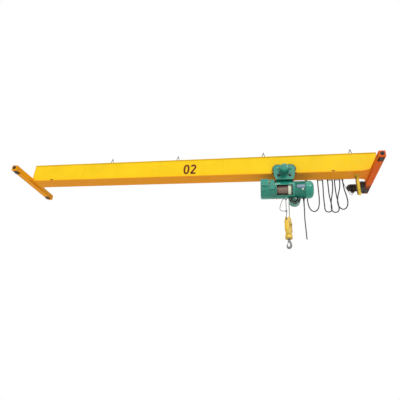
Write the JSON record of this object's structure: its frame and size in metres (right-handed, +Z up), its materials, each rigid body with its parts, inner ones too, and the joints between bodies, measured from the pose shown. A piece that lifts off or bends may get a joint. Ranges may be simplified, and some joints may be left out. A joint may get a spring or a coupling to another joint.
{
  "type": "overhead bridge crane",
  "caption": "Single-girder overhead bridge crane: yellow box girder on end carriages, with an underslung wire-rope hoist, hook block, festoon cables and travel drive.",
  "frame": {"origin": "on the plane of the two rail heads, midway between the four wheels", "axes": "+X along the girder towards the driven carriage, +Y along the runway away from the viewed side, +Z up"},
  "size_m": [9.182, 1.832, 2.5701],
  "materials": {
    "girder_paint": "gloss paint",
    "carriage_paint": "gloss paint",
    "hoist_paint": "gloss paint",
    "drive_paint": "dark paint",
    "buffer_rubber": "matte",
    "wheel_steel": "turned",
    "collector_paint": "satin paint",
    "track_steel": "galvanised",
    "clamp_steel": "dark paint",
    "cable_sheath": "matte",
    "rope_steel": "greased wire rope",
    "drum_steel": "turned",
    "block_paint": "satin paint",
    "hook_steel": "forged"
  },
  "bodies": {
    "bridge": {"girder_top_flange": "girder_paint", "girder_bottom_flange": "carriage_paint", "girder_gussets": "carriage_paint", "girder_webs": "girder_paint", "girder_end_plates": "girder_paint", "lifting_hoops": "girder_paint", "end_stops": "girder_paint", "end_carriage_left": "carriage_paint", "end_carriage_right": "carriage_paint", "buffers": "buffer_rubber", "travel_gearbox": "drive_paint", "travel_motor": "drive_paint", "collector_bar": "collector_paint", "festoon_track": "track_steel", "festoon_arms": "girder_paint", "festoon_end_clamp": "clamp_steel", "festoon_loop_1": "cable_sheath", "festoon_loop_2": "cable_sheath", "festoon_loop_3": "cable_sheath", "festoon_loop_4": "cable_sheath", "motor_lead": "cable_sheath"},
    "trolley": {"trolley_plates": "hoist_paint", "trolley_bumpers": "buffer_rubber", "hanger_pins": "wheel_steel", "trolley_motor": "hoist_paint", "drum_casing": "hoist_paint", "gear_housing": "hoist_paint", "hoist_motor": "hoist_paint", "limit_housing": "hoist_paint", "rope_guide": "hoist_paint", "tow_arm": "clamp_steel", "pendant_gland": "cable_sheath", "pendant_cable": "cable_sheath", "tail_rope": "cable_sheath", "rope_fall_hoisting": "rope_steel", "rope_fall_anchored": "rope_steel", "rope_clip": "clamp_steel"},
    "hook_block": {"block_shell": "block_paint", "block_collar": "block_paint", "sheave_rope": "rope_steel"},
    "drum": {"rope_drum": "drum_steel", "rope_windings": "rope_steel"},
    "sheave": {"sheave": "wheel_steel"},
    "hook": {"hook": "hook_steel"},
    "wheel_left_front": {"wheel_left_front": "wheel_steel"},
    "wheel_left_rear": {"wheel_left_rear": "wheel_steel"},
    "wheel_right_front": {"wheel_right_front": "wheel_steel"},
    "wheel_right_rear": {"wheel_right_rear": "wheel_steel"},
    "trolley_wheel_front_left": {"trolley_wheel_front_left": "wheel_steel"},
    "trolley_wheel_front_right": {"trolley_wheel_front_right": "wheel_steel"},
    "trolley_wheel_rear_left": {"trolley_wheel_rear_left": "wheel_steel"},
    "trolley_wheel_rear_right": {"trolley_wheel_rear_right": "wheel_steel"},
    "festoon_carrier_1": {"festoon_carrier_1": "clamp_steel"},
    "festoon_carrier_2": {"festoon_carrier_2": "clamp_steel"},
    "festoon_carrier_3": {"festoon_carrier_3": "clamp_steel"}
  },
  "joints": [
    {"name": "roll_left_front", "type": "hinge", "parent": "bridge", "child": "wheel_left_front", "pos_m": [-4.5, -0.75, 0.068], "axis": [1, 0, 0], "continuous": true},
    {"name": "roll_left_rear", "type": "hinge", "parent": "bridge", "child": "wheel_left_rear", "pos_m": [-4.5, 0.75, 0.068], "axis": [1, 0, 0], "continuous": true},
    {"name": "roll_right_front", "type": "hinge", "parent": "bridge", "child": "wheel_right_front", "pos_m": [4.5, -0.75, 0.068], "axis": [1, 0, 0], "continuous": true},
    {"name": "roll_right_rear", "type": "hinge", "parent": "bridge", "child": "wheel_right_rear", "pos_m": [4.5, 0.75, 0.068], "axis": [1, 0, 0], "continuous": true},
    {"name": "trolley_slide", "type": "slide", "parent": "bridge", "child": "trolley", "axis": [1, 0, 0], "range_m": [-6.02, 0.08], "deforming": ["festoon_loop_1", "festoon_loop_2", "festoon_loop_3", "festoon_loop_4"]},
    {"name": "trolley_roll_front_left", "type": "hinge", "parent": "trolley", "child": "trolley_wheel_front_left", "pos_m": [2.293, -0.165, 0.1863], "axis": [0, 1, 0], "continuous": true},
    {"name": "trolley_roll_front_right", "type": "hinge", "parent": "trolley", "child": "trolley_wheel_front_right", "pos_m": [2.593, -0.165, 0.1863], "axis": [0, 1, 0], "continuous": true},
    {"name": "trolley_roll_rear_left", "type": "hinge", "parent": "trolley", "child": "trolley_wheel_rear_left", "pos_m": [2.293, 0.165, 0.1863], "axis": [0, 1, 0], "continuous": true},
    {"name": "trolley_roll_rear_right", "type": "hinge", "parent": "trolley", "child": "trolley_wheel_rear_right", "pos_m": [2.593, 0.165, 0.1863], "axis": [0, 1, 0], "continuous": true},
    {"name": "carrier_slide_3", "type": "slide", "parent": "bridge", "child": "festoon_carrier_3", "axis": [1, 0, 0], "range_m": [-1.505, 0.02]},
    {"name": "carrier_slide_2", "type": "slide", "parent": "festoon_carrier_3", "child": "festoon_carrier_2", "axis": [1, 0, 0], "range_m": [-1.505, 0.02]},
    {"name": "carrier_slide_1", "type": "slide", "parent": "festoon_carrier_2", "child": "festoon_carrier_1", "axis": [1, 0, 0], "range_m": [-1.505, 0.02]},
    {"name": "hook_lift", "type": "slide", "parent": "trolley", "child": "hook_block", "axis": [0, 0, 1], "range_m": [-6, 0.09], "deforming": ["rope_fall_hoisting", "rope_fall_anchored"]},
    {"name": "drum_turn", "type": "hinge", "parent": "trolley", "child": "drum", "pos_m": [2.4375, -0.04201, -0.32], "axis": [1, 0, 0], "continuous": true},
    {"name": "sheave_turn", "type": "hinge", "parent": "hook_block", "child": "sheave", "pos_m": [2.501, 0, -1.206], "axis": [0.9285, -0.3714, 0], "continuous": true},
    {"name": "hook_swivel", "type": "hinge", "parent": "hook_block", "child": "hook", "pos_m": [2.501, 0, -1.558], "axis": [0, 0, 1], "continuous": true}
  ],
  "couplings": [
    {"joint": "trolley_roll_front_left", "follows": "trolley_slide", "rad_per_m": 10},
    {"joint": "trolley_roll_front_right", "follows": "trolley_slide", "rad_per_m": 10},
    {"joint": "trolley_roll_rear_left", "follows": "trolley_slide", "rad_per_m": 10},
    {"joint": "trolley_roll_rear_right", "follows": "trolley_slide", "rad_per_m": 10},
    {"joint": "carrier_slide_3", "follows": "trolley_slide", "ratio": 0.25},
    {"joint": "carrier_slide_2", "follows": "trolley_slide", "ratio": 0.25},
    {"joint": "carrier_slide_1", "follows": "trolley_slide", "ratio": 0.25},
    {"joint": "drum_turn", "follows": "hook_lift", "rad_per_m": 14.337},
    {"joint": "sheave_turn", "follows": "hook_lift", "rad_per_m": 9.5238}
  ]
}
